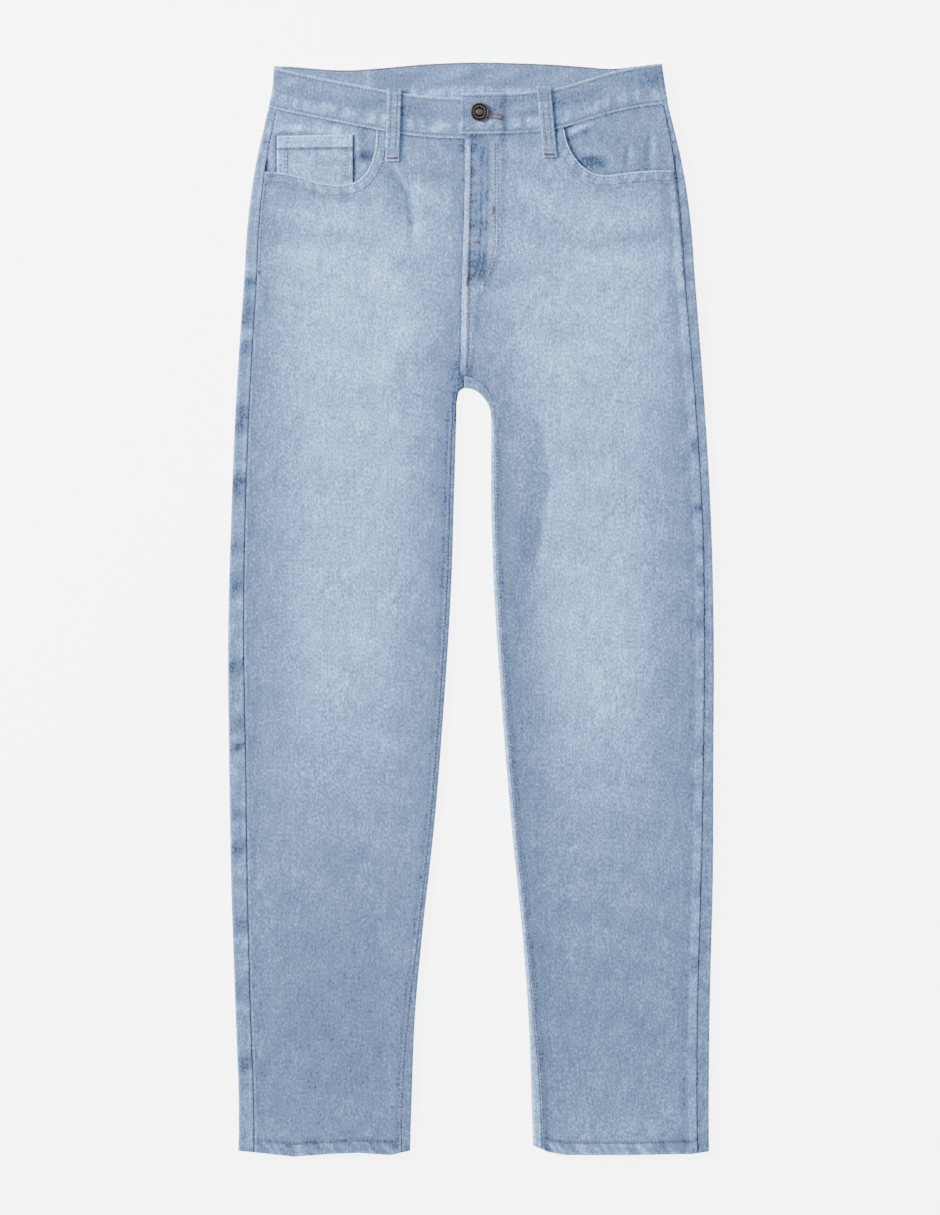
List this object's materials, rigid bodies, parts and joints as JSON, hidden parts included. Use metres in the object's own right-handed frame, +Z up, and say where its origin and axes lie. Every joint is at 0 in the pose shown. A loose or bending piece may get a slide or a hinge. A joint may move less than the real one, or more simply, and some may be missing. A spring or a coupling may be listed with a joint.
{
  "type": "straight jeans",
  "caption": "High-rise straight-leg jeans in light washed denim, laid flat front up, with scoop pockets, belt loops and a metal button.",
  "frame": {"origin": "on the floor under the middle of the garment's box, where it lies flat", "axes": "+Y from the hems to the waist, +X to the right as seen from above, +Z up out of the front"},
  "size_m": [0.4522, 1.017, 0.0121],
  "materials": {
    "denim": "light washed blue denim, matte twill",
    "denim_under": "light washed blue denim, less faded",
    "button_metal": "aged dark metal"
  },
  "bodies": {
    "root": {"front_left": "denim", "front_right": "denim", "pocket_facing_left": "denim", "pocket_facing_right": "denim", "coin_pocket": "denim", "waistband": "denim", "belt_loop_front_left": "denim", "belt_loop_front_right": "denim", "back_left": "denim_under", "back_right": "denim_under", "yoke_left": "denim_under", "yoke_right": "denim_under", "back_pocket_left": "denim_under", "back_pocket_right": "denim_under", "belt_loop_back_left": "denim_under", "belt_loop_back_centre": "denim_under", "belt_loop_back_right": "denim_under", "button": "button_metal"}
  },
  "joints": []
}
